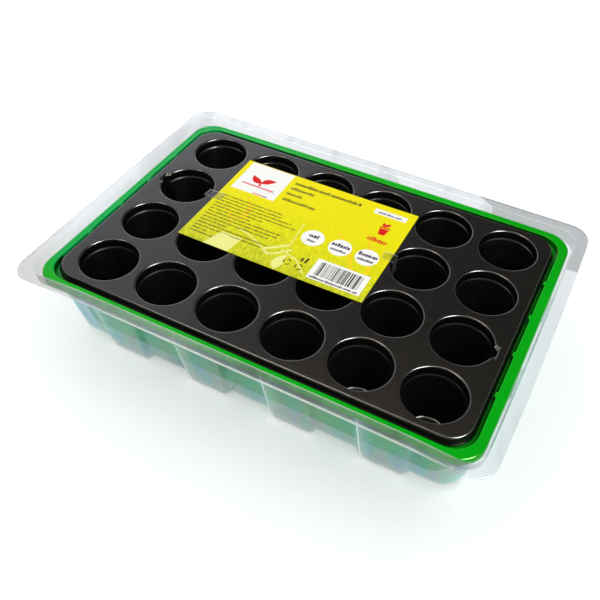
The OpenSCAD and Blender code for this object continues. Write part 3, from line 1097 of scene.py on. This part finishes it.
def bars_and_arrows():
    """A random bar pattern, two marks of three round arrows, and a small cup."""
    panel("white", 0.15, -0.455, 0.975, -0.025)
    x = 0.225
    while x < 0.90:
        wide = random.choice((0.008, 0.008, 0.013, 0.020, 0.026))
        panel("ink", x, -0.365, x + wide, -0.07, 3)
        x += wide + random.choice((0.009, 0.014, 0.020))
    word_line("violet", 0.19, 0.93, -0.435, 1.9, 3, gap=0.5, letter=1.0)
    for cx, cy in ((-0.225, -0.31), (-0.03, -0.33)):
        for k in range(3):
            turns = 2 * math.pi * k / 3 + 0.5 + np.linspace(0, 1.35, 5)
            arc = [(cx + 0.055 * math.cos(a), cy + 0.055 * math.sin(a)) for a in turns]
            draw("ink", strip(scaled(arc), [0.75] * 4 + [0.1]))
    panel("ink", -0.005, -0.22, 0.025, -0.10, lean=0.6)
    panel("olive", -0.07, -0.21, -0.03, -0.13)


background_plants()
seedling_box()
title_lines()
right_marks()
small_print()
bars_and_arrows()

INKS = {
    "white": (0.92, 0.91, 0.87), "red": (0.72, 0.004, 0.006), "brown": (0.030, 0.025, 0.008),
    "olive": (0.085, 0.075, 0.012), "violet": (0.030, 0.010, 0.075), "ink": (0.012, 0.012, 0.014),
    "grey": (0.45, 0.45, 0.46), "orange": (0.93, 0.66, 0.006), "cream": (0.86, 0.84, 0.26),
}

card_sheet = Sheet()
slab(card_sheet, rectangle(*card_low[:2], *card_high[:2], step=3.0), -card_size[2], card_size[2])
assign(make_object("label", card_sheet, card, sharp=40), "insert", "label_card")
for color, sheet in prints.items():
    ink = ink_material("ink_" + color, INKS[color])
    assign(make_object("label_print_" + color, sheet, ink, sharp=40), "insert")


# ---- Clear tape tabs ----

FILM = 0.07
ACROSS = 8


def tape(name, node_name, inward):
    """A film tab: stuck on the card's edge, over the deck, then hanging into its cell."""
    low, high = box_mm(node_name)
    width = high[1] - low[1] - 0.1
    mid_y = (low[1] + high[1]) / 2
    start, edge, reach = low[0], card_high[0], high[0]
    if inward < 0:
        start, edge, reach = high[0], card_low[0], low[0]
    top = high[2] - 0.06
    path = [(mix(start, edge, t), top, 0.0) for t in np.linspace(0, 1, 9)]
    for t in np.linspace(0.12, 1, 12):
        path.append((mix(edge, reach - inward * 0.6, t), top - 0.12 * t, 0.4 * t))
    for t in np.linspace(0.06, 1, 22):
        sag = 0.12 + 0.27 * math.sin(math.pi * t)
        path.append((reach - inward * sag, mix(top - 0.4, low[2] + 0.1, t), 1.0))
    sheet = Sheet()
    rows = []
    for i, (x, z, loose) in enumerate(path):
        line = []
        for k in range(ACROSS + 1):
            v = k / ACROSS - 0.5
            crinkle = 0.10 * loose * math.sin(9.0 * v + 0.9 * i) * math.cos(0.7 * i)
            line.append((x - inward * abs(crinkle), mid_y + v * width, z + 0.10 * loose * crinkle))
        rows.append(sheet.add(line))
    sheet.grid(rows)
    if inward < 0:
        sheet.turn_over()
    obj = make_object(name, sheet, film)
    thicken(obj, FILM, 0)
    assign(obj, "insert", node_name)


tape("tape_tab_right", "tape_right", 1)
tape("tape_tab_left", "tape_left", -1)


# ---- Stage, light and camera ----

FLOOR_HALF = 6000

floor_sheet = Sheet()
floor_sheet.grid([
    floor_sheet.add([(x, y, -0.05) for x in np.linspace(-FLOOR_HALF, FLOOR_HALF, 9)])
    for y in np.linspace(-FLOOR_HALF, FLOOR_HALF, 9)])
make_object("studio_floor", floor_sheet, floor_material())


def world():
    """Even pale light, and for reflections a cool box from the back left round to the left."""
    sh = Shader(bpy.data.worlds.new("studio"), "ShaderNodeOutputWorld")
    x, y, z = sh.split(sh.node("ShaderNodeTexCoord").outputs["Generated"])
    # degrees round from the back (+Y) towards the left (-X), and degrees above the horizon
    turn = sh.times(sh.math("ARCTAN2", sh.times(x, -1.0), y), 180 / math.pi)
    rise = sh.times(sh.math("ARCSINE", z), 180 / math.pi)
    from_right = sh.math("SUBTRACT", turn, rise)
    inside = sh.span(from_right, -14.5, -4.5, soft=True)
    for value, low, high in ((turn, 150.0, 120.0), (rise, 8.0, 14.0), (rise, 80.0, 70.0)):
        inside = sh.times(inside, sh.span(value, low, high, soft=True))
    height = sh.math("DIVIDE", rise, 90.0)
    dim = sh.ramp(height, (0.00, 1.20, 1.18, 1.15), (0.16, 1.00, 0.97, 0.92),
                  (0.30, 0.10, 0.080, 0.055), (0.70, 0.11, 0.092, 0.065),
                  (0.86, 0.40, 0.37, 0.33), (1.00, 0.7, 0.66, 0.60))
    dim = sh.mix(sh.span(y, 0.05, -0.35, soft=True), dim, (0.42, 0.40, 0.37, 1.0))
    box = sh.ramp(height, (0.10, 3.2, 3.3, 3.5), (0.26, 2.6, 2.7, 2.9), (0.40, 1.04, 1.05, 1.11),
                  (1.00, 0.94, 0.95, 1.00))
    # reflections see the box, the camera a white backdrop, and all other rays an even light
    rays = sh.node("ShaderNodeLightPath").outputs
    sky = sh.mix(rays["Is Glossy Ray"], (1.05, 1.06, 1.07, 1.0), sh.mix(inside, dim, box))
    sky = sh.mix(rays["Is Camera Ray"], sky, WHITE)
    return sh.finish(sh.node("ShaderNodeBackground", {"Color": sky, "Strength": 1.0}))


def reflected_box(name, place_at, size, radiance, color=(1, 1, 1)):
    """A studio box that only shows as a highlight; the even sky does the lighting."""
    data = bpy.data.lights.new(name, "AREA")
    data.shape = "RECTANGLE"
    data.size, data.size_y = size
    data.energy = radiance * math.pi * size[0] * size[1]
    data.color = color
    lamp = bpy.data.objects.new(name, data)
    bpy.context.scene.collection.objects.link(lamp)
    lamp.location = place_at
    toward = Vector((0, 0, 0.04)) - Vector(place_at)
    lamp.rotation_euler = toward.to_track_quat("-Z", "Y").to_euler()
    lamp.visible_diffuse = False
    lamp.visible_transmission = False


def look(place_at, right, down, forward, lens):
    """The camera at a place in metres, with the directions of its picture's right, down and depth."""
    data = bpy.data.cameras.new("camera")
    data.lens = lens
    data.clip_start = 0.01
    camera = bpy.data.objects.new("camera", data)
    bpy.context.scene.collection.objects.link(camera)
    turn = Matrix((Vector(right), -Vector(down), -Vector(forward))).transposed()
    camera.matrix_world = Matrix.Translation(place_at) @ turn.to_4x4()
    bpy.context.scene.camera = camera


bpy.context.scene.world = world()
bpy.context.scene.view_settings.view_transform = "Standard"
reflected_box("right_box", (0.72, -0.21, 0.86), (0.48, 0.48), 80.0)
reflected_box("warm_top", (-0.16, 0.06, 1.35), (0.75, 0.60), 7.0, (1.0, 0.86, 0.68))
reflected_box("front_edge_box", (-0.42, -0.62, 0.95), (0.50, 0.34), 22.0, (1.0, 0.90, 0.78))
look((0.15034, -0.30434, 0.37540), right=(0.88142, 0.47213, 0.01418),
     down=(0.34891, -0.63056, -0.69329), forward=(-0.31838, 0.61602, -0.72052), lens=44.12)
